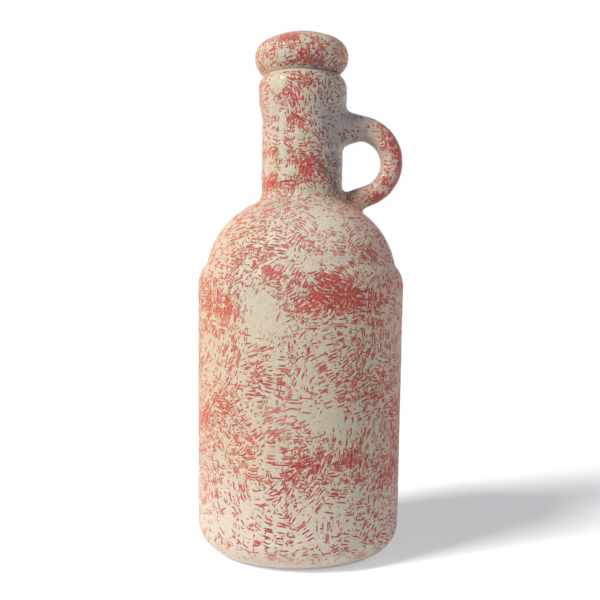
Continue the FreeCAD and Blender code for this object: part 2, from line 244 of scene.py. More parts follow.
@dataclass(frozen=True)
class BrushedGlaze:
    """Cream stoneware glaze over red slip, fired to a soft gloss.

    The cream lies thick with rounded edges, and the red shows in the brushed
    gaps, which sit lower and duller than the cream. Sizes named in millimetres
    are the real width of what they draw.
    """

    cream: str = "cbcdb9"
    # Cream warmed on the lit left side is painted warm light, though the foot's beige is its own
    # colour; dusky cream on the right is painted shade.
    cream_left_light_and_foot: str = "dbcbb3"
    cream_right_shade: str = "cfbeb0"
    # Painted sheen on the dome's front, and painted bounce light that lightens the cream towards
    # the foot.
    sheen_and_bounce: str = "e6e4da"
    blush: str = "dfa793"
    red: str = "c93a31"
    # Red made warmer on the lit left side: painted warm light.
    red_left_light: str = "d9603a"
    red_deep: str = "8f2030"
    red_pale: str = "dc917c"
    # Greyer cream and brown-red strokes: painted shade beside the handle and under the stopper's
    # cap.
    painted_shade: str = "b0a6a2"
    red_in_shade: str = "6e4446"
    wander_mm: float = 2.0
    clump_mm: float = 6.0
    peel_mm: float = 4.0
    clumping: float = 0.7
    blush_share: float = 0.21
    blush_edge: tuple[float, float] = (-1.0, 0.0)
    colour_edge: tuple[float, float] = (-0.08, 0.09)
    dull_edge: tuple[float, float] = (-0.10, 0.20)
    groove_edge: tuple[float, float] = (-0.24, 0.14)
    fleck_edge: float = 0.10
    fleck_cover: tuple[float, float] = (0.42, -0.02)
    # How far the strokes warm on the lit left side, as painted warm light.
    left_light_orange_share: float = 0.85
    pale_share: float = 0.25
    open_wall: float = 0.8
    gloss_roughness: float = 0.20
    satin_roughness: float = 0.26
    gap_roughness: float = 0.16
    relief: float = 0.24 * MM
    ior: float = 1.5
    specular: float = 0.32
    wall_coat: StrokeCoat = StrokeCoat(
        patch=13.0, along=5.8, across=0.90, swing=0.95, shift=0.0, fill=0.30)
    round_coat: StrokeCoat = StrokeCoat(
        patch=7.0, along=4.8, across=0.86, swing=1.20, shift=11.0, fill=0.29)
    cross_coat: StrokeCoat = StrokeCoat(
        patch=6.0, along=2.6, across=0.84, swing=1.57, shift=37.0, fill=0.27, share=0.8)
    flecks: StrokeCoat = StrokeCoat(
        patch=6.0, along=3.2, across=0.85, swing=1.5, shift=71.0, fill=0.22)

    def build(self, name: str) -> bpy.types.Material:
        """Make the material.

        Args:
            name: Name of the new material.

        Returns:
            The finished material.
        """
        material = bpy.data.materials.new(name)
        material.use_nodes = True
        tree = material.node_tree
        tree.nodes.clear()
        add = partial(add_node, tree)
        texture = add("TexCoord")
        place = add("VectorMath", {0: texture.outputs["Object"], 3: 1 / MM}, operation="SCALE")
        marks = add("Attribute", attribute_name="glaze_marks_and_shade")
        mark = add("SeparateXYZ", (marks.outputs["Vector"],))
        satin = add("Attribute", attribute_name="glaze_satin").outputs["Fac"]
        depth, lot = self.brush(tree, texture, place, mark, satin)
        colour = self.paint(tree, mark, depth, lot)
        gap = add("MapRange", (depth, *self.dull_edge), interpolation_type="SMOOTHSTEP")
        polish = (satin, self.satin_roughness, self.gloss_roughness)
        polish = add("Math", polish, operation="MULTIPLY_ADD")
        roughness = add("Math", (gap, self.gap_roughness, polish), operation="MULTIPLY_ADD")
        groove = add("MapRange", (depth, *self.groove_edge), interpolation_type="SMOOTHSTEP")
        peel = add("TexNoise", {"Vector": place, "Scale": 1 / self.peel_mm, "Detail": 2.0})
        ripple = add("Math", (peel, 0.5), operation="MULTIPLY")
        height = add("Math", (ripple, groove), operation="SUBTRACT")
        bump = add("Bump", {"Height": height, "Distance": self.relief, "Strength": 1.0})
        # Fired glaze reflects like window glass, a little softened by its own ripples.
        surface = add("BsdfPrincipled", {
            "Base Color": colour, "Roughness": roughness, "IOR": self.ior,
            "Specular IOR Level": self.specular, "Normal": bump,
        })
        add("OutputMaterial", {"Surface": surface})
        return material

    def brush(
        self, tree: bpy.types.NodeTree, texture: bpy.types.Node, place: bpy.types.Node,
        mark: bpy.types.Node, satin: bpy.types.NodeSocket,
    ) -> tuple[bpy.types.Node, bpy.types.NodeSocket]:
        """Lay the coats of strokes over each other and fleck them with cream.

        Args:
            tree: The material's node tree.
            texture: Texture coordinates.
            place: Position in millimetres.
            mark: Separated attribute: cover, veil and painted shade.
            satin: One on the open wall, less on the neck, the handle and the stopper.

        Returns:
            Depth inside the nearest stroke in millimetres, and that stroke's random colour.
        """
        add = partial(add_node, tree)
        facing = add("VectorMath", (texture.outputs["Normal"],), operation="NORMALIZE")
        way = add("Attribute", attribute_name="brush_way")
        flow = add("VectorMath", (way.outputs["Vector"],), operation="NORMALIZE")
        fine = add("TexNoise", {"Vector": place, "Scale": 1 / self.wander_mm, "Detail": 1.0})
        middle = (0.5, 0.5, 0.5)
        wander = add("VectorMath", (fine.outputs["Color"], middle), operation="SUBTRACT")
        clump = add("TexNoise", {"Vector": place, "Scale": 1 / self.clump_mm, "Detail": 1.0})
        clump = add("Math", (clump, 0.5), operation="SUBTRACT")
        uneven = add("Math", (clump, self.clumping, mark.outputs[0]), operation="MULTIPLY_ADD")
        cover = add("Math", (uneven, 1.0), operation="MINIMUM")
        lay = (tree, place, facing, flow, cover, wander)
        depth, lot = self.round_coat.lay(*lay)
        broad, broad_lot = self.wall_coat.lay(*lay)
        cross, cross_lot = self.cross_coat.lay(*lay)
        wall = add("Math", (satin, self.open_wall), operation="GREATER_THAN")
        more = add("Math", (broad, depth), operation="SUBTRACT")
        depth = add("Math", (more, wall, depth), operation="MULTIPLY_ADD")
        crossed = add("Math", (cross, depth), operation="GREATER_THAN")
        lot = lay_colours(tree, lot, ((wall, broad_lot), (crossed, cross_lot)))
        depth = add("Math", (depth, cross), operation="MAXIMUM")
        speckled = add("Math", (cover, *self.fleck_cover), operation="MULTIPLY_ADD")
        fleck, _ = self.flecks.lay(tree, place, facing, flow, speckled, wander)
        clear = add("Math", (self.fleck_edge, fleck), operation="SUBTRACT")
        return add("Math", (depth, clear), operation="MINIMUM"), lot

    def paint(
        self, tree: bpy.types.NodeTree, mark: bpy.types.Node, depth: bpy.types.Node,
        lot: bpy.types.NodeSocket,
    ) -> bpy.types.NodeSocket:
        """Mix the colour of the cream and of the strokes.

        Args:
            tree: The material's node tree.
            mark: Separated attribute: cover, veil and painted shade.
            depth: Depth inside a stroke in millimetres.
            lot: Random colour of the stroke.

        Returns:
            The surface colour's socket.
        """
        add = partial(add_node, tree)
        tints = add("Attribute", attribute_name="light_and_foot_tints")
        left_light_and_foot, right_shade, sheen_and_bounce = add("SeparateXYZ", (tints.outputs["Vector"],)).outputs
        _, veil, painted_shade = mark.outputs
        _, pale_lot, deep_lot = add("SeparateColor", (lot,)).outputs
        near = add("MapRange", (depth, *self.blush_edge), interpolation_type="SMOOTHSTEP")
        halo = add("Math", (near, self.blush_share), operation="MULTIPLY")
        # The cream takes painted warm light, painted shade, and painted sheen and bounce light.
        cream = lay_colours(tree, linear(self.cream), (
            (left_light_and_foot, linear(self.cream_left_light_and_foot)), (right_shade, linear(self.cream_right_shade)),
            (sheen_and_bounce, linear(self.sheen_and_bounce)), (halo, linear(self.blush)), (painted_shade, linear(self.painted_shade)),
        ))
        # Strokes turn orange on the lit left side, as painted warm light.
        left_light_orange = add("Math", (left_light_and_foot, self.left_light_orange_share), operation="MULTIPLY")
        pale = (pale_lot, self.pale_share, veil)
        pale = add("Math", pale, operation="MULTIPLY_ADD", use_clamp=True)
        # Red strokes turn brown in the painted shade.
        red = lay_colours(tree, linear(self.red), (
            (deep_lot, linear(self.red_deep)), (left_light_orange, linear(self.red_left_light)),
            (pale, linear(self.red_pale)), (painted_shade, linear(self.red_in_shade)),
        ))
        edge = add("MapRange", (depth, *self.colour_edge), interpolation_type="SMOOTHSTEP")
        return lay_colours(tree, cream, ((edge, red),))


@dataclass(frozen=True)
class Dab:
    """A patch of heavier or lighter brushing on the turned surface.

    Azimuth is in degrees from the front towards the handle, lengths in millimetres.
    """

    azimuth: float
    height: float
    half_width: float
    half_height: float
    weight: float

    def strength(self, azimuth: np.ndarray, height: np.ndarray) -> np.ndarray:
        """Work out how strongly the dab tells at each point.

        Args:
            azimuth: Azimuths in degrees.
            height: Heights in millimetres.

        Returns:
            The whole weight at the dab's middle, fading to none around it.
        """
        across = turn_from(azimuth, self.azimuth) / self.half_width
        spread = across ** 2 + ((height - self.height) / self.half_height) ** 2
        return self.weight * np.exp(-spread)


@dataclass(frozen=True)
class Sweep:
    """The way the brush went at one place, as an angle in degrees above level."""

    azimuth: float
    height: float
    angle: float


BODY_DABS = (
    Dab(16, 132, 15, 8, 0.75), Dab(32, 128, 12, 6, 0.55), Dab(44, 121, 6, 6, 0.12),
    Dab(-1, 124, 7, 4, 0.35), Dab(-60, 128, 20, 8, 0.36), Dab(-41, 122, 7, 4, 0.28),
    Dab(-14, 141, 6, 3, 0.60), Dab(-34, 150, 9, 13, 0.14), Dab(-8, 154, 9, 4, 0.20),
    Dab(42, 152, 9, 4, 0.40), Dab(60, 160, 10, 4, 0.20), Dab(-1, 51, 7, 6, 0.45),
    Dab(12, 56, 10, 5, 0.35), Dab(29, 54, 7, 7, 0.50), Dab(12, 43, 10, 4, 0.35),
    Dab(-10, 66, 12, 4, 0.25), Dab(-12, 38, 6, 10, 0.25), Dab(-20, 18, 8, 4, 0.20),
    Dab(56, 44, 12, 7, 0.28), Dab(42, 84, 10, 4, 0.35), Dab(30, 94, 9, 7, 0.22),
    Dab(-41, 77, 9, 5, 0.35), Dab(-66, 71, 14, 6, 0.30), Dab(-38, 103, 6, 8, 0.22),
    Dab(-22, 92, 4, 10, 0.20), Dab(-10, 78, 4, 3, 0.25), Dab(46, 115, 9, 9, 0.05),
    Dab(45, 15, 9, 4, 0.20), Dab(66, 62, 8, 20, 0.20),
    Dab(-19, 122, 10, 10, -0.75), Dab(-27, 133, 7, 5, -0.30), Dab(12, 113, 12, 6, -0.25),
    Dab(12, 72, 14, 8, -0.45), Dab(4, 88, 10, 8, -0.20), Dab(-24, 74, 4, 5, -0.35),
    # Dab(14, 147, 22, 3, -0.45) leaves the top of the step bare of strokes, a painted highlight.
    Dab(-30, 88, 4, 4, -0.25), Dab(14, 147, 22, 3, -0.45), Dab(18, 166, 14, 6, -0.35),
    Dab(-12, 31, 5, 5, -0.15), Dab(8, 30, 8, 6, -0.22), Dab(28, 34, 6, 6, -0.22),
    Dab(-50, 20, 12, 8, -0.15), Dab(-14, 59, 6, 3, -0.30), Dab(-62, 67, 12, 6, 0.22),
    Dab(-44, 75, 7, 5, 0.25), Dab(-62, 157, 14, 16, -0.26), Dab(66, 158, 12, 24, -0.16),
    Dab(-15, 25, 8, 9, -0.12), Dab(-60, 95, 12, 20, -0.08), Dab(64, 115, 12, 12, -0.10),
)
NECK_DABS = (
    Dab(8, 194, 22, 6, 0.65), Dab(28, 193, 10, 4, 0.40), Dab(-60, 186, 34, 3, 0.30),
    Dab(-4, 216, 14, 4, 0.35), Dab(-24, 229, 14, 3, 0.35), Dab(-8, 236, 14, 4, 0.30),
    Dab(60, 215, 32, 12, -0.30), Dab(70, 190, 20, 8, -0.10), Dab(-58, 184, 26, 5, 0.30),
    Dab(-48, 202, 16, 6, 0.15), Dab(-12, 186, 12, 5, 0.25), Dab(48, 187, 18, 6, 0.25),
    Dab(-20, 206, 8, 9, 0.20), Dab(-14, 225, 9, 6, 0.20), Dab(4, 234, 12, 6, 0.20),
    Dab(-5, 186, 28, 3.5, 0.30), Dab(-58, 206, 16, 6, -0.12),
)
GLAZE_BEADS = (
    Dab(-43, 222, 9, 3.4, 1.0), Dab(-18, 191, 10, 3.0, 1.2), Dab(8, 182.5, 10, 2.2, 0.8),
    Dab(-56, 192, 9, 4.0, 0.9), Dab(-31, 235, 12, 4.0, 1.3), Dab(-27, 201, 6, 3.6, 1.1),
    Dab(-5, 209, 6, 2.4, 0.9), Dab(-28, 212, 5, 5.0, 1.0), Dab(150, 226, 14, 4.5, 0.9),
    Dab(-120, 214, 11, 5.0, 0.8), Dab(170, 196, 12, 4.0, 0.8), Dab(-160, 233, 12, 4.0, 0.9),
)
BODY_SWEEPS = (
    Sweep(-65, 125, 45), Sweep(-40, 125, 45), Sweep(-15, 138, 15), Sweep(12, 130, 45),
    Sweep(5, 118, 5), Sweep(40, 120, 45), Sweep(65, 110, 45), Sweep(-50, 95, 40),
    Sweep(-10, 90, 45), Sweep(12, 85, 35), Sweep(45, 85, 45), Sweep(-45, 70, 15),
    Sweep(-12, 68, 40), Sweep(12, 66, 30), Sweep(-40, 45, -35), Sweep(0, 48, 40),
    Sweep(28, 52, 45), Sweep(55, 50, 45), Sweep(-45, 22, -20), Sweep(-5, 25, 35),
    Sweep(25, 22, 45), Sweep(50, 22, 30), Sweep(-45, 160, 45), Sweep(-10, 158, 5),
    Sweep(20, 155, -10), Sweep(48, 155, -35), Sweep(100, 120, 20), Sweep(140, 80, 45),
    Sweep(180, 120, 35), Sweep(-140, 60, -30), Sweep(-100, 110, 45), Sweep(180, 40, -35),
    Sweep(0, 195, 35), Sweep(-50, 205, 30), Sweep(30, 215, -35), Sweep(60, 200, -35),
    Sweep(0, 230, -20), Sweep(-60, 228, 40), Sweep(180, 210, 45),
)
STOPPER_SWEEPS = (
    Sweep(0, 250, 45), Sweep(-60, 252, 40), Sweep(60, 250, 10), Sweep(20, 260, 20),
    Sweep(140, 252, 45), Sweep(-140, 252, 20),
)


@dataclass(frozen=True)
class HandWork:
    """Unevenness that the hands and the glaze leave in the surface, in millimetres."""

    sway: float = 0.16
    sway_size: float = 34.0
    ripple: float = 0.07
    ripple_size: float = 7.5
    neck_lumps: float = 0.16
    neck_lump_size: float = 6.5
    glaze_step: float = 0.10
    sink: float = 0.6

    def lift(self, place: Vector, lumpy: float, cover: float) -> float:
        """Return how far a point stands out, in metres.

        Args:
            place: The point, in metres.
            lumpy: How much of the neck's lumpiness applies, zero to one.
            cover: How much red shows there.

        Returns:
            Height along the normal, hardly ever above zero.
        """
        spot = place / MM
        broad = self.sway * noise.noise(spot / self.sway_size)
        small = self.ripple * noise.noise(spot / self.ripple_size + Vector((9.1, 3.3, 5.7)))
        bumps = noise.noise(spot / self.neck_lump_size + Vector((2.7, 8.1, 1.9)))
        lump = self.neck_lumps * lumpy * bumps
        thick = self.glaze_step * (0.5 - min(max(cover, 0.0), 1.0))
        most = self.sway + self.ripple + self.neck_lumps * lumpy + self.glaze_step / 2
        return (broad + small + lump + thick - self.sink * most) * MM


def arc_points(centre: tuple, radius: float, start: float, end: float, step: float) -> list[tuple]:
    """Return points along an arc, its start left out.

    Args:
        centre: Distance out and height of the arc's centre.
        radius: Radius of the arc.
        start: First angle in degrees.
        end: Last angle in degrees.
        step: Longest distance between points.

    Returns:
        The points, as distance out and height.
    """
    sweep = math.radians(end - start)
    count = max(2, math.ceil(abs(sweep) * radius / step))
    angles = [math.radians(start) + sweep * (i + 1) / count for i in range(count)]
    return [(centre[0] + radius * math.cos(a), centre[1] + radius * math.sin(a)) for a in angles]


def line_points(start: tuple, end: tuple, step: float) -> list[tuple]:
    """Return points along a straight line, its start left out.

    Args:
        start: Where the line starts, as distance out and height.
        end: Where it ends.
        step: Longest distance between points.

    Returns:
        The points, as distance out and height.
    """
    count = max(1, math.ceil(math.dist(start, end) / step))
    steps = [(i + 1) / count for i in range(count)]
    return [(start[0] + (end[0] - start[0]) * f, start[1] + (end[1] - start[1]) * f) for f in steps]


def turn_outline(outline: list[tuple], steps: int) -> bmesh.types.BMesh:
    """Spin an outline a full circle about the upright axis.

    Args:
        outline: Points as distance out and height, the first and last on the axis.
        steps: Number of steps round.

    Returns:
        A closed bmesh with its faces outwards.
    """
    mesh = bmesh.new()
    verts = [mesh.verts.new((x, 0.0, z)) for x, z in outline]
    edges = [mesh.edges.new(pair) for pair in zip(verts, verts[1:])]
    bmesh.ops.spin(
        mesh, geom=verts + edges, cent=(0, 0, 0), axis=(0, 0, 1), angle=2 * math.pi,
        steps=steps, use_merge=True, use_duplicate=False,
    )
    bmesh.ops.remove_doubles(mesh, verts=mesh.verts, dist=1e-7)
    bmesh.ops.recalc_face_normals(mesh, faces=mesh.faces)
    return mesh


def finish_piece(
    mesh: bpy.types.Mesh, name: str, material: bpy.types.Material,
) -> bpy.types.Object:
    """Turn a mesh into a smooth shaded object of the scene.

    Args:
        mesh: The finished mesh, placed in the row frame.
        name: Name of the object.
        material: Its finish.

    Returns:
        The linked object.
    """
    mesh.materials.append(material)
    mesh.shade_smooth()
    piece = bpy.data.objects.new(name, mesh)
    bpy.context.scene.collection.objects.link(piece)
    return piece


def brush_way(
    places: np.ndarray, normals: np.ndarray, azimuth: np.ndarray, sweeps: tuple[Sweep, ...],
) -> np.ndarray:
    """Work out the brush's direction along the surface at each point.

    A direction has no front or back, so twice the angle is what gets blended.

    Args:
        places: Points in metres.
        normals: Their unit normals.
        azimuth: Their azimuths in degrees.
        sweeps: The known directions to blend between.

    Returns:
        One unit vector for each point.
    """
    mm_per_degree, softness, fall = 0.85, 60.0, 1.5
    height = places[:, 2] / MM
    double_x = np.zeros(len(places))
    double_y = np.zeros(len(places))
    for sweep in sweeps:
        turn = turn_from(azimuth, sweep.azimuth) * mm_per_degree
        near = 1 / (turn ** 2 + (height - sweep.height) ** 2 + softness) ** fall
        double_x += near * math.cos(2 * math.radians(sweep.angle))
        double_y += near * math.sin(2 * math.radians(sweep.angle))
    angle = np.arctan2(double_y, double_x) / 2
    spin = np.radians(azimuth)
    around = np.stack([np.cos(spin), np.sin(spin), np.zeros(len(places))], axis=1)
    level = around - normals * np.sum(around * normals, axis=1, keepdims=True)
    level /= np.maximum(np.linalg.norm(level, axis=1, keepdims=True), 1e-6)
    rise = np.cross(normals, level)
    return level * np.cos(angle)[:, None] + rise * np.sin(angle)[:, None]


def light_and_foot_tints(places: np.ndarray, azimuth: np.ndarray, sheen_and_bounce: np.ndarray) -> np.ndarray:
    """Work out where painted warm light lies on the lit left side, where the foot keeps its own
    beige, and where painted shade lies on the right.

    Args:
        places: Points in metres.
        azimuth: Their azimuths in degrees.
        sheen_and_bounce: Painted sheen and bounce light there, zero to one.

    Returns:
        Warm light and foot share, right-side painted shade share, and painted sheen and bounce
        share for each point.
    """
    drift = noise_at(places, 30, (6.2, 1.4, 3.8))
    turn = azimuth + 22 * drift
    foot = ramp(places[:, 2] / MM, 9, 4)
    # Painted warm light on the lit left side; the foot's beige is its own colour.
    left_light_and_foot = np.maximum(ramp(turn, -22, -64) * ramp(turn, -175, -115), foot)
    # Painted shade on the right side, away from the key light.
    right_shade = ramp(turn, 34, 64) * ramp(turn, 200, 110) * (1 - foot)
    return np.stack([left_light_and_foot, right_shade, sheen_and_bounce], axis=1)


def store(mesh: bpy.types.Mesh, name: str, values: np.ndarray) -> None:
    """Keep a value for each vertex, which the material reads by its name.

    Args:
        mesh: The mesh that keeps them.
        name: Name of the attribute.
        values: One number or one vector for each vertex.
    """
    kind, key = ("FLOAT", "value") if values.ndim == 1 else ("FLOAT_VECTOR", "vector")
    layer = mesh.attributes.new(name, kind, "POINT")
    layer.data.foreach_set(key, values.astype(np.float32).ravel())


def read_vertices(mesh: bpy.types.Mesh) -> tuple[np.ndarray, np.ndarray]:
    """Read where a mesh's vertices are and which way they face.

    Args:
        mesh: The mesh to read.

    Returns:
        The places and the unit normals.
    """
    places = np.empty(len(mesh.vertices) * 3, dtype=np.float32)
    normals = np.empty(len(mesh.vertices) * 3, dtype=np.float32)
    mesh.vertices.foreach_get("co", places)
    mesh.vertices.foreach_get("normal", normals)
    return places.reshape(-1, 3).astype(float), normals.reshape(-1, 3).astype(float)


def move_vertices(mesh: bpy.types.Mesh, places: np.ndarray) -> None:
    """Set where a mesh's vertices are."""
    mesh.vertices.foreach_set("co", places.astype(np.float32).ravel())
    mesh.update()


@dataclass
class Bottle:
    """The thrown body with its dome, neck, collar and pulled ring handle.

    The fields whose names end in mm are heights on the surface in millimetres.
    """

    base_radius: float = 51.3 * MM
    base_corner: float = 15.0 * MM
    foot_ring_width: float = 6.3 * MM
    foot_recess: float = 1.5 * MM
    wall_height: float = 134.6 * MM
    shoulder_radius: float = 52.5 * MM
    shoulder_round: float = 15.6 * MM
    step_hollow: float = 1.5 * MM
    dome_offset: float = 6.9 * MM
    dome_height: float = 138.2 * MM
    dome_round: float = 41.9 * MM
    neck_radius: float = 20.9 * MM
    neck_hollow: float = 6.0 * MM
    neck_end: float = 217.9 * MM
    neck_length: float = 36.0 * MM
    collar_slope: float = 12.8 * MM
    collar_radius: float = 22.9 * MM
    rim_round: float = 8.4 * MM
    seat_radius: float = 18.5 * MM
    mouth_radius: float = 12.5 * MM
    socket_depth: float = 22.0 * MM
    socket_draft: float = 2.5
    handle_centre: tuple[float, float] = (28.3 * MM, 197.9 * MM)
    handle_bend: float = 17.6 * MM
    handle_slant: float = 22.0
    handle_root_x: float = 14.9 * MM
    handle_widths: tuple[float, ...] = (22.0, 13.6, 12.1, 11.0, 13.0)
    handle_segments: int = 40
    handle_near: tuple[float, float] = (5.0 * MM, 160.0 * MM)
    root_blend: float = 3.4 * MM
    bead_height: float = 0.55 * MM
    outline_step: float = 0.7 * MM
    handle_step: float = 1.2 * MM
    turn_steps: int = 288
    grain: float = 1.13 * MM
    even_cover: float = 0.47
    foot_mm: float = 4.5
    dome_top_mm: float = 182.0
    neck_foot_mm: float = 178.0
    rim_highlight_mm: float = 240.2
    hands: HandWork = HandWork()

    def outline(self, run: float) -> list[tuple]:
        """Return the half section, from the axis under the foot to the socket's floor.

        Args:
            run: Longest stretch between points on the straight parts.

        Returns:
            Points as distance out and height.
        """
        step = self.outline_step
        seat_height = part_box("bottle")[1].z
        corner_x = self.base_radius - self.base_corner
        ring = corner_x - self.foot_ring_width
        points = [(0.0, self.foot_recess)]
        points += line_points(points[-1], (ring - self.foot_recess, self.foot_recess), run)
        points += line_points(points[-1], (ring, 0.0), run)
        points += line_points(points[-1], (corner_x, 0.0), run)
        points += arc_points((corner_x, self.base_corner), self.base_corner, -90, 0, step)
        points += line_points(points[-1], (self.shoulder_radius, self.wall_height), run)
        points += self.shoulder_points(step)
        points += self.collar_points(step, run, seat_height)
        points += line_points(points[-1], (self.mouth_radius, seat_height), run)
        floor = self.mouth_radius - self.socket_depth * math.tan(math.radians(self.socket_draft))
        points += line_points(points[-1], (floor, seat_height - self.socket_depth), run)
        points += line_points(points[-1], (0.0, seat_height - self.socket_depth), run)
        return points

    def shoulder_points(self, step: float) -> list[tuple]:
        """Return the rounded shoulder, the hollow above it, the dome and the neck's hollow.

        Args:
            step: Longest distance between points.

        Returns:
            Points as distance out and height, each arc meeting the next without a corner.
        """
        lip = (self.shoulder_radius - self.shoulder_round, self.wall_height)
        dome = (self.dome_offset, self.dome_height)
        lip_reach = self.shoulder_round + self.step_hollow
        dome_reach = self.dome_round + self.step_hollow
        apart = math.dist(lip, dome)
        along = (lip_reach ** 2 - dome_reach ** 2 + apart ** 2) / (2 * apart)
        aside = math.sqrt(lip_reach ** 2 - along ** 2)
        way = ((dome[0] - lip[0]) / apart, (dome[1] - lip[1]) / apart)
        hollow = (
            lip[0] + along * way[0] + aside * way[1],
            lip[1] + along * way[1] - aside * way[0],
        )
        lip_end = math.degrees(math.atan2(hollow[1] - lip[1], hollow[0] - lip[0]))
        dome_start = math.degrees(math.atan2(hollow[1] - dome[1], hollow[0] - dome[0]))
        bend_x = self.neck_radius + self.neck_hollow
        bend_reach = self.dome_round + self.neck_hollow
        bend_z = dome[1] + math.sqrt(bend_reach ** 2 - (bend_x - dome[0]) ** 2)
        dome_end = math.degrees(math.atan2(bend_z - dome[1], bend_x - dome[0]))
        points = arc_points(lip, self.shoulder_round, 0, lip_end, step)
        points += arc_points(hollow, self.step_hollow, lip_end + 180, dome_start + 180, step)
        points += arc_points(dome, self.dome_round, dome_start, dome_end, step)
        points += arc_points((bend_x, bend_z), self.neck_hollow, dome_end + 180, 180, step)
        return points

    def collar_points(self, step: float, run: float, seat_height: float) -> list[tuple]:
        """Return the neck, the swelling to the collar and the rim's round edge.

        Args:
            step: Longest distance between points on the arcs.
            run: Longest distance between points on the straight parts.
            seat_height: Height of the flat that the stopper rests on.

        Returns:
            Points as distance out and height.
        """
        swell = self.collar_radius - self.neck_radius
        turn = 2 * math.atan2(swell / 2, self.collar_slope / 2)
        bend = self.collar_slope / 2 / math.sin(turn)
        end = 180 - math.degrees(turn)
        start = (self.neck_radius, self.neck_end - self.neck_length)
        points = line_points(start, (self.neck_radius, self.neck_end), run)
        points += arc_points((self.neck_radius + bend, self.neck_end), bend, 180, end, step)
        top = self.neck_end + self.collar_slope
        points += arc_points((self.collar_radius - bend, top), bend, -math.degrees(turn), 0, step)
        rim_x = self.collar_radius - self.rim_round
        rise = math.sqrt(self.rim_round ** 2 - (self.seat_radius - rim_x) ** 2)
        rim_z = seat_height - rise
        end = math.degrees(math.atan2(rise, self.seat_radius - rim_x))
        points += line_points(points[-1], (self.collar_radius, rim_z), run)
        points += arc_points((rim_x, rim_z), self.rim_round, 0, end, step)
        return points

    def handle_line(self) -> tuple[np.ndarray, np.ndarray]:
        """Draw the handle's centre line.

        Returns:
            Its points in the X-Z plane, and the handle's radius at each.
        """
        step = self.handle_step
        centre = self.handle_centre
        start = (self.handle_root_x, centre[1] + self.handle_bend)
        tail_angle = self.handle_slant - 90
        points = [start] + line_points(start, (centre[0], start[1]), step)
        arm_end = len(points) - 1
        points += arc_points(centre, self.handle_bend, 90, tail_angle, step)
        bend_end = len(points) - 1
        drop = (points[-1][0] - self.handle_root_x) * math.tan(math.radians(self.handle_slant))
        points += line_points(points[-1], (self.handle_root_x, points[-1][1] - drop), step)
        knots = [0, arm_end, (arm_end + bend_end) / 2, bend_end, len(points) - 1]
        widths = np.interp(np.arange(len(points)), knots, self.handle_widths)
        smooth = np.convolve(np.pad(widths, 4, mode="edge"), np.ones(9) / 9, mode="valid")
        return np.array(points), smooth / 2 * MM

    def pulled_handle(self) -> bmesh.types.BMesh:
        """Make the handle alone, as rings bridged along its centre line.

        Returns:
            A closed bmesh with its faces outwards.
        """
        line, radii = self.handle_line()
        mesh = bmesh.new()
        rings = []
        for point, way, radius in zip(line, np.gradient(line, axis=0), radii):
            ring = bmesh.ops.create_circle(
                mesh, segments=self.handle_segments, radius=radius, cap_ends=False)["verts"]
            lean = Matrix.Rotation(math.atan2(way[0], way[1]), 4, "Y")
            place = Matrix.Translation((point[0], 0, point[1])) @ lean
            bmesh.ops.transform(mesh, matrix=place, verts=ring)
            rings.append(ring)
        for pair in zip(rings, rings[1:]):
            edges = {
                edge for ring in pair for vert in ring for edge in vert.link_edges
                if edge.other_vert(vert) in ring
            }
            bmesh.ops.bridge_loops(mesh, edges=list(edges))
        for ring in (rings[0], rings[-1]):
            bmesh.ops.contextual_create(mesh, geom=ring)
        bmesh.ops.recalc_face_normals(mesh, faces=mesh.faces)
        return mesh

    def fused_mesh(self) -> bpy.types.Mesh:
        """Lay one closed skin over the turned vessel and its handle.

        Returns:
            The skin, even grained and close to the surface.
        """
        whole = turn_outline(self.outline(self.outline_step), self.turn_steps)
        handle = self.pulled_handle()
        loose = bpy.data.meshes.new("loose_handle")
        handle.to_mesh(loose)
        handle.free()
        whole.from_mesh(loose)
        rough = bpy.data.meshes.new("rough_bottle")
        whole.to_mesh(rough)
        whole.free()
        shell = bpy.data.objects.new("rough_bottle", rough)
        bpy.context.scene.collection.objects.link(shell)
        remesh = shell.modifiers.new("skin", "REMESH")
        remesh.mode = "VOXEL"
        remesh.voxel_size = self.grain
        graph = bpy.context.evaluated_depsgraph_get()
        mesh = bpy.data.meshes.new_from_object(shell.evaluated_get(graph))
        bpy.data.objects.remove(shell)
        bpy.data.meshes.remove(rough)
        bpy.data.meshes.remove(loose)
        return mesh

    def settle(self, places: np.ndarray) -> np.ndarray:
        """Move points onto the true surface, with the handle's roots smeared into the wall.

        Args:
            places: Points near the surface, in metres.

        Returns:
            The moved points.
        """
        rounds, least_size = 3, 0.2
        outline = np.array(self.outline(1.0))
        line, radii = self.handle_line()
        for _ in range(rounds):
            wall, wall_way = self.wall_distance(places, outline)
            grip, grip_way = self.handle_distance(places, line, radii)
            share = np.clip(0.5 + 0.5 * (grip - wall) / self.root_blend, 0, 1)
            gap = grip + (wall - grip) * share - self.root_blend * share * (1 - share)
            way = grip_way + (wall_way - grip_way) * share[:, None]
            size = np.maximum(np.sum(way * way, axis=1), least_size)
            places = places - way * (gap / size)[:, None]
        return places

    def wall_distance(self, places: np.ndarray, outline: np.ndarray) -> tuple:
        """Measure from the turned vessel.

        Args:
            places: Points in metres.
            outline: The half section's corners.

        Returns:
            Each point's distance, below zero inside, and the unit vector that leads out.
        """
        out = np.hypot(places[:, 0], places[:, 1])
        flat = np.stack([out, places[:, 2]], axis=1)
        gap, way = nearest_on_line(flat, outline)
        steer = places[:, :2] / np.maximum(out, 1e-9)[:, None]
        offset = flat - way[:, :2]
        sign = np.where(way[:, 2] * offset[:, 1] - way[:, 3] * offset[:, 0] < 0, 1.0, -1.0)
        delta = offset / np.maximum(gap, 1e-12)[:, None] * sign[:, None]
        straight = np.stack([way[:, 3], -way[:, 2]], axis=1)
        delta = np.where((gap < 1e-7)[:, None], straight, delta)
        return gap * sign, np.concatenate([steer * delta[:, :1], delta[:, 1:]], axis=1)

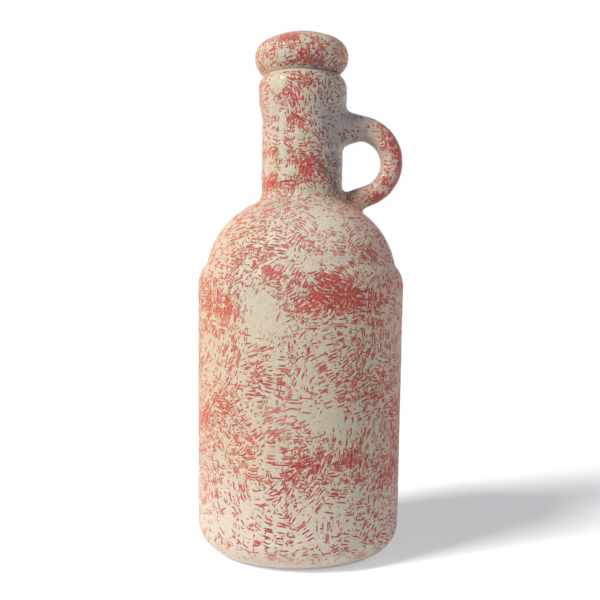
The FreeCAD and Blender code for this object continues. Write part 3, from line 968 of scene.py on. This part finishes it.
    def handle_distance(self, places: np.ndarray, line: np.ndarray, radii: np.ndarray) -> tuple:
        """Measure from the handle.

        Args:
            places: Points in metres.
            line: The handle's centre line.
            radii: Its radius at each point of the line.

        Returns:
            Each point's distance, below zero inside, and the unit vector that leads out.
            Points on the far side or low on the body count as a metre away.
        """
        distance = np.full(len(places), 1.0)
        lead = np.zeros_like(places)
        near = (places[:, 0] > self.handle_near[0]) & (places[:, 2] > self.handle_near[1])
        local = places[near]
        best = np.full(len(local), 1.0)
        way = np.zeros_like(local)
        for start, end, first, last in zip(line, line[1:], radii, radii[1:]):
            reach = end - start
            flat = local[:, [0, 2]] - start
            share = np.clip(flat @ reach / (reach @ reach), 0, 1)
            across, rise = (flat - share[:, None] * reach).T
            off = np.stack([across, local[:, 1], rise], axis=1)
            length = np.linalg.norm(off, axis=1)
            gap = length - (first + (last - first) * share)
            closer = gap < best
            best = np.where(closer, gap, best)
            way = np.where(closer[:, None], off / np.maximum(length, 1e-9)[:, None], way)
        distance[near] = best
        lead[near] = way
        return distance, lead

    def cover(self, places: np.ndarray, azimuth: np.ndarray) -> np.ndarray:
        """Work out how much red shows on the body and the neck.

        Args:
            places: Points in metres.
            azimuth: Their azimuths in degrees.

        Returns:
            The share at each point, about zero to one, and below zero where none shows.
        """
        height = places[:, 2] / MM
        level = self.even_cover + 0.20 * noise_at(places, 24) + 0.16 * noise_at(places, 11)
        front = 0.5 * bell(turn_from(azimuth, 0), 0, 75, 6)
        level = level * (1 - front) + self.even_cover * front
        low = ramp(height, 44, 32)
        left = bell(azimuth, -42, 24) * (height < 112)
        right = ramp(azimuth, 38, 58) * (height < 180)
        # Fewer strokes where the painted shade lies beside the handle.
        painted_shade = self.shade_beside_handle(azimuth, height)
        level += 0.10 * right - 0.10 * left - 0.12 * low - 0.06 * painted_shade
        for dab in BODY_DABS:
            level += dab.strength(azimuth, height) * (height < self.dome_top_mm)
        for dab in NECK_DABS:
            level += dab.strength(azimuth, height) * (height > self.neck_foot_mm)
        # Above the rim height no strokes show: the bare cream there is a painted highlight on the
        # rim's round edge.
        level = level * ramp(height, 4, 10) - 0.8 * (height > self.rim_highlight_mm)
        return np.where(height < self.foot_mm, BARE, level)

    def dress(self, mesh: bpy.types.Mesh) -> None:
        """Give the skin its handmade unevenness, the marks the glaze follows, and its painted light
        and shade.

        Args:
            mesh: The settled skin, changed in place.
        """
        places, normals = read_vertices(mesh)
        azimuth = np.degrees(np.arctan2(places[:, 0], -places[:, 1]))
        height = places[:, 2] / MM
        out = np.hypot(places[:, 0], places[:, 1]) / MM
        on_handle = ramp(places[:, 0] / MM, 22.5, 28.5) * (height > 172) * (out > 22.5)
        bead = self.beads(azimuth, height) * (1 - on_handle)
        cover = self.cover(places, azimuth) * (1 - on_handle)
        cover += self.handle_cover(places) * on_handle - 0.75 * bead
        lumpy = ramp(height, 176, 184)
        lift = np.array([self.hands.lift(Vector(p), s, c) for p, s, c in zip(places, lumpy, cover)])
        lift = np.where(height < 1.0, np.minimum(lift, 0) * height, lift)
        lift = lift + bead * self.bead_height
        move_vertices(mesh, places + normals * lift[:, None])
        # Painted shade: greyer cream and brown strokes on the neck's shaded side and on the
        # handle's upper arm.
        painted_shade = self.shade_beside_handle(azimuth, height)
        upper_arm_shade = ramp(height, 198, 205) * ramp(out, 39, 30)
        painted_shade += (upper_arm_shade - painted_shade) * ramp(on_handle, 0.5, 1.0)
        veil = self.veil(azimuth, height)
        # Painted reflection on the dome's front, and painted bounce light making the cream lighter
        # towards the foot.
        sheen_and_bounce = np.maximum(self.dome_sheen(azimuth, height), 0.70 * ramp(height, 58, 16))
        store(mesh, "brush_way", brush_way(places, normals, azimuth, BODY_SWEEPS))
        store(mesh, "glaze_marks_and_shade", np.stack([cover, veil, painted_shade], axis=1))
        store(mesh, "light_and_foot_tints", light_and_foot_tints(places, azimuth, sheen_and_bounce))
        store(mesh, "glaze_satin", ramp(height, self.dome_top_mm, 174) * (1 - bead))

    def dome_sheen(self, azimuth: np.ndarray, height: np.ndarray) -> np.ndarray:
        """Return the painted reflection that pales the front of the dome, zero to one."""
        return Dab(16, 161, 30, 14, 0.85).strength(azimuth, height) * (height < 181)

    def shade_beside_handle(self, azimuth: np.ndarray, height: np.ndarray) -> np.ndarray:
        """Work out the painted shade on the neck's side beside the handle, away from the key light.

        Args:
            azimuth: Azimuths in degrees.
            height: Heights in millimetres.

        Returns:
            Zero for no painted shade to one for the darkest.
        """
        lean = azimuth + 0.5 * (height - 212)
        side = ramp(lean, 4, 38) * ramp(azimuth, 150, 110)
        side = side * (1 - 0.45 * ramp(height, 224, 232))
        low = np.clip((height - 178) / 5 - np.clip((52 - azimuth) / 14, 0, 4), 0, 1)
        return side * np.where(height > 202, ramp(height, 200, 206), low)

    def beads(self, azimuth: np.ndarray, height: np.ndarray) -> np.ndarray:
        """Return how strongly each point lies on a thick bead of glaze, zero to one."""
        return np.clip(sum(bead.strength(azimuth, height) for bead in GLAZE_BEADS), 0, 1)

    def handle_cover(self, places: np.ndarray) -> np.ndarray:
        """Work out how much red shows on the handle: bare at the top arm, heavy round the bend.

        Args:
            places: Points in metres.

        Returns:
            The share at each point, about zero to one.
        """
        across = places[:, 0] - self.handle_centre[0]
        rise = places[:, 2] - self.handle_centre[1]
        angle = np.degrees(np.arctan2(rise, across))
        outer = np.clip((np.hypot(across, rise) - self.handle_bend) / (5 * MM), -1, 1)
        worn = 0.50 + 0.58 * outer + 0.70 * noise_at(places, 5.5)
        return 0.12 + bell(angle, -18, 80, 4) * worn

    def veil(self, azimuth: np.ndarray, height: np.ndarray) -> np.ndarray:
        """Work out how far the strokes are paled: where the cream has run over them, and on the
        dome's front, where the paling is painted reflection.

        Args:
            azimuth: Azimuths in degrees.
            height: Heights in millimetres.

        Returns:
            Zero for clear strokes to one for veiled ones.
        """
        foot = 0.75 * ramp(height, 13, 5)
        crown = 0.35 * bell(height, 171, 7)
        dome_sheen = 0.6 * self.dome_sheen(azimuth, height)
        centre = Dab(-10, 74, 12, 10, 0.45).strength(azimuth, height)
        blank = Dab(-19, 120, 14, 12, 0.5).strength(azimuth, height)
        return np.clip(np.maximum.reduce([foot, crown, dome_sheen, centre, blank]), 0, 1)

    def build(self, glaze: BrushedGlaze) -> bpy.types.Object:
        """Build the bottle and set it in the frame.

        Args:
            glaze: The finish.

        Returns:
            The finished piece.
        """
        mesh = self.fused_mesh()
        places, _ = read_vertices(mesh)
        move_vertices(mesh, self.settle(places))
        self.dress(mesh)
        piece = finish_piece(mesh, "glazed_bottle", glaze.build("brushed_stoneware_glaze"))
        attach(piece, "root")
        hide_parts("bottle")
        return piece


def nearest_on_line(points: np.ndarray, line: np.ndarray) -> tuple[np.ndarray, np.ndarray]:
    """Find the nearest place on a broken line for each point.

    Args:
        points: Points in the plane.
        line: The line's corners in order.

    Returns:
        The distances, and for each point the nearest place and the line's direction there.
    """
    best = np.full(len(points), 1e9)
    found = np.zeros((len(points), 4))
    for start, end in zip(line, line[1:]):
        reach = end - start
        length = np.linalg.norm(reach)
        share = np.clip((points - start) @ reach / length ** 2, 0, 1)
        spot = start + share[:, None] * reach
        gap = np.linalg.norm(points - spot, axis=1)
        closer = gap < best
        best = np.where(closer, gap, best)
        row = np.concatenate([spot, np.broadcast_to(reach / length, spot.shape)], axis=1)
        found = np.where(closer[:, None], row, found)
    return best, found


@dataclass
class Stopper:
    """The mushroom-shaped stopper, set a little askew in the mouth."""

    seat_radius: float = 18.5 * MM
    radius: float = 24.1 * MM
    edge: float = 9.73 * MM
    height: float = 22.0 * MM
    plug_radius: float = 12.1 * MM
    plug_length: float = 20.0 * MM
    plug_draft: float = 2.5
    plug_chamfer: float = 1.2 * MM
    lean: float = -2.2
    shift: float = -0.45 * MM
    lift: float = -0.55 * MM
    outline_step: float = 0.7 * MM
    turn_steps: int = 200
    satin: float = 0.6
    hands: HandWork = HandWork(sway=0.18, ripple=0.12, neck_lumps=0.0)

    def outline(self) -> list[tuple]:
        """Draw the half section from the plug's end to the crown, the seat at height zero.

        Returns:
            Points as distance out and height.
        """
        step = self.outline_step
        edge_x = self.radius - self.edge
        edge_z = math.sqrt(self.edge ** 2 - (self.seat_radius - edge_x) ** 2)
        rise = self.height - edge_z
        crown = (edge_x ** 2 + rise ** 2 - self.edge ** 2) / (2 * (rise - self.edge))
        crown_z = self.height - crown
        low = math.degrees(math.atan2(-edge_z, self.seat_radius - edge_x))
        high = math.degrees(math.atan2(edge_z - crown_z, edge_x))
        tip = self.plug_radius - self.plug_length * math.tan(math.radians(self.plug_draft))
        points = [(0.0, -self.plug_length)]
        points += line_points(points[-1], (tip - self.plug_chamfer, -self.plug_length), step)
        points += line_points(points[-1], (tip, self.plug_chamfer - self.plug_length), step)
        points += line_points(points[-1], (self.plug_radius, 0.0), step)
        points += line_points(points[-1], (self.seat_radius, 0.0), step)
        points += arc_points((edge_x, edge_z), self.edge, low, high, step)
        points += arc_points((0.0, crown_z), crown, high, 90, step)
        return points[:-1] + [(0.0, self.height)]

    def dress(self, mesh: bpy.types.Mesh) -> None:
        """Give the stopper its unevenness, the marks the glaze follows, and its painted light and
        shade.

        Args:
            mesh: The placed stopper, changed in place.
        """
        places, normals = read_vertices(mesh)
        azimuth = np.degrees(np.arctan2(places[:, 0], -places[:, 1]))
        height = (places[:, 2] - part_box("bottle")[1].z) / MM
        blotch = noise_at(places, 9, (4.0, 1.0, 7.0))
        cover = 0.58 + 0.60 * blotch + 0.26 * ramp(height, 9, 17)
        cover = np.where(height < 0.0, BARE, cover)
        lift = np.array([self.hands.lift(Vector(p), 0.0, c) for p, c in zip(places, cover)])
        move_vertices(mesh, places + normals * (lift * (height > 1.0))[:, None])
        veil = 0.40 * ramp(height, 12, 18)
        shaded = 0.60 * ramp(height, 8, 1) * ramp(azimuth, -25, 15)
        way = brush_way(places, normals, azimuth, STOPPER_SWEEPS)
        store(mesh, "brush_way", way)
        store(mesh, "glaze_marks_and_shade", np.stack([cover + 0.4 * shaded, veil, shaded], axis=1))
        store(mesh, "light_and_foot_tints", light_and_foot_tints(places, azimuth, np.zeros(len(places))))
        store(mesh, "glaze_satin", np.full(len(places), self.satin))

    def build(self, glaze: BrushedGlaze) -> bpy.types.Object:
        """Build the stopper and set it in the bottle's mouth.

        Args:
            glaze: The finish.

        Returns:
            The finished piece.
        """
        shape = turn_outline(self.outline(), self.turn_steps)
        mesh = bpy.data.meshes.new("mushroom_stopper")
        shape.to_mesh(mesh)
        shape.free()
        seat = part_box("bottle")[1].z
        askew = Matrix.Translation((self.shift, 0, seat + self.lift))
        mesh.transform(askew @ Matrix.Rotation(math.radians(self.lean), 4, "Y"))
        mesh.update()
        self.dress(mesh)
        piece = finish_piece(mesh, "mushroom_stopper", glaze.build("brushed_stopper_glaze"))
        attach(piece, "root")
        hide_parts("stopper")
        return piece


class Lamp(Enum):
    """The lamps of the plain studio."""

    KEY = "key_sun"
    SOFTBOX = "left_softbox"
    FILL = "right_fill"


@dataclass(frozen=True)
class BoxLamp:
    """A rectangular soft light: its angles in degrees, power in watts and size in metres."""

    lamp: Lamp
    azimuth: float
    height: float
    power: float
    width: float
    length: float


def lamp_way(azimuth: float, height: float) -> Vector:
    """Return the unit vector from the bottle towards a lamp."""
    side, up = math.radians(azimuth), math.radians(height)
    return Vector((math.sin(side) * math.cos(up), -math.cos(side) * math.cos(up), math.sin(up)))


@dataclass
class Studio:
    """A plain white floor and backdrop, soft light from the upper left, and the camera."""

    eye_distance: float = 463.5 * MM
    eye_height: float = 139.0 * MM
    eye_side: float = -0.3 * MM
    pitch: float = 1.46
    roll: float = 0.65
    lens: float = 54.0
    sensor: float = 36.0
    key_azimuth: float = -56.0
    key_height: float = 41.0
    key_strength: float = 2.75
    key_spread: float = 16.0
    key_colour: tuple[float, ...] = (1.0, 0.95, 0.88)
    boxes: tuple[BoxLamp, ...] = (
        BoxLamp(Lamp.SOFTBOX, -58.0, 25.0, 1.5, 0.07, 0.60),
        BoxLamp(Lamp.FILL, 58.0, 2.0, 0.95, 0.50, 0.40),
    )
    box_aim: float = 0.15
    sky: float = 0.12
    floor_colour: tuple[float, ...] = (0.93, 0.94, 0.97, 1)
    floor_glow_colour: tuple[float, ...] = (0.94, 0.97, 1.0, 1)
    floor_glow: float = 0.40
    floor_reach: float = 12.0

    def build(self) -> None:
        """Make the camera, the lamps, the world and the floor."""
        self.make_camera()
        self.make_lamps()
        self.make_world()
        self.make_floor()
        bpy.context.scene.view_settings.view_transform = "Standard"

    def make_camera(self) -> None:
        """Place the camera in front of the bottle, a little above its middle."""
        data = bpy.data.cameras.new("camera")
        data.lens = self.lens
        data.sensor_width = self.sensor
        data.clip_start = 0.01
        camera = bpy.data.objects.new("camera", data)
        bpy.context.scene.collection.objects.link(camera)
        aim = Matrix.Rotation(math.radians(90 - self.pitch), 4, "X")
        tip = Matrix.Rotation(math.radians(self.roll), 4, "Z")
        place = Matrix.Translation((self.eye_side, -self.eye_distance, self.eye_height))
        camera.matrix_world = place @ aim @ tip
        bpy.context.scene.camera = camera

    def make_lamps(self) -> None:
        """Make the key light, its softbox and the fill."""
        link = bpy.context.scene.collection.objects.link
        sun = bpy.data.lights.new(Lamp.KEY.value, "SUN")
        sun.energy = self.key_strength
        sun.angle = math.radians(self.key_spread)
        sun.color = self.key_colour
        key = bpy.data.objects.new(Lamp.KEY.value, sun)
        way = lamp_way(self.key_azimuth, self.key_height)
        key.rotation_euler = way.to_track_quat("Z", "Y").to_euler()
        link(key)
        for box in self.boxes:
            area = bpy.data.lights.new(box.lamp.value, "AREA")
            area.shape = "RECTANGLE"
            area.size, area.size_y = box.width, box.length
            area.energy = box.power
            lamp = bpy.data.objects.new(box.lamp.value, area)
            way = lamp_way(box.azimuth, box.height)
            lamp.location = Vector((0, 0, self.box_aim)) + way
            lamp.rotation_euler = way.to_track_quat("Z", "Y").to_euler()
            link(lamp)

    def seen_directly(self, tree: bpy.types.NodeTree) -> bpy.types.Node:
        """Tell what is looked at from what only lights.

        Args:
            tree: The node tree to add to.

        Returns:
            A node that gives one for the camera, a reflection or a refraction, else zero.
        """
        rays = add_node(tree, "LightPath").outputs
        either = (rays["Is Camera Ray"], rays["Is Glossy Ray"])
        either = add_node(tree, "Math", either, operation="MAXIMUM")
        return add_node(tree, "Math", (either, rays["Is Transmission Ray"]), operation="MAXIMUM")

    def make_world(self) -> None:
        """Make the even sky, white where it is seen and dimmer where it only lights."""
        world = bpy.data.worlds.new("white_studio")
        bpy.context.scene.world = world
        world.use_nodes = True
        tree = world.node_tree
        tree.nodes.clear()
        strength = (self.seen_directly(tree), 1.0 - self.sky, self.sky)
        strength = add_node(tree, "Math", strength, operation="MULTIPLY_ADD")
        light = add_node(tree, "Background", {"Color": (1, 1, 1, 1), "Strength": strength})
        add_node(tree, "OutputWorld", {"Surface": light})

    def make_floor(self) -> None:
        """Make the white floor that keeps the bottle's shadow, matt and faintly aglow."""
        shape = bmesh.new()
        bmesh.ops.create_grid(shape, x_segments=1, y_segments=1, size=self.floor_reach)
        mesh = bpy.data.meshes.new("studio_floor")
        shape.to_mesh(mesh)
        shape.free()
        material = bpy.data.materials.new("white_floor")
        material.use_nodes = True
        tree = material.node_tree
        tree.nodes.clear()
        seen = self.seen_directly(tree)
        strength = add_node(tree, "Math", (seen, self.floor_glow), operation="MULTIPLY")
        matt = add_node(tree, "BsdfDiffuse", {"Color": self.floor_colour})
        glow = {"Color": self.floor_glow_colour, "Strength": strength}
        both = add_node(tree, "AddShader", (matt, add_node(tree, "Emission", glow)))
        add_node(tree, "OutputMaterial", {"Surface": both})
        mesh.materials.append(material)
        floor = bpy.data.objects.new("studio_floor", mesh)
        bpy.context.scene.collection.objects.link(floor)


def main() -> None:
    """Build the bottle, the stopper and the studio, and report each piece."""
    logging.basicConfig(level=logging.INFO, format="%(name)s: %(message)s")
    glaze = BrushedGlaze()
    for piece in (Bottle().build(glaze), Stopper().build(glaze)):
        mesh = piece.data
        mesh.calc_loop_triangles()
        corners, triangles = len(mesh.vertices), len(mesh.loop_triangles)
        LOG.info("%s: %d vertices, %d triangles", piece.name, corners, triangles)
    Studio().build()


if __name__ == "__main__":
    main()
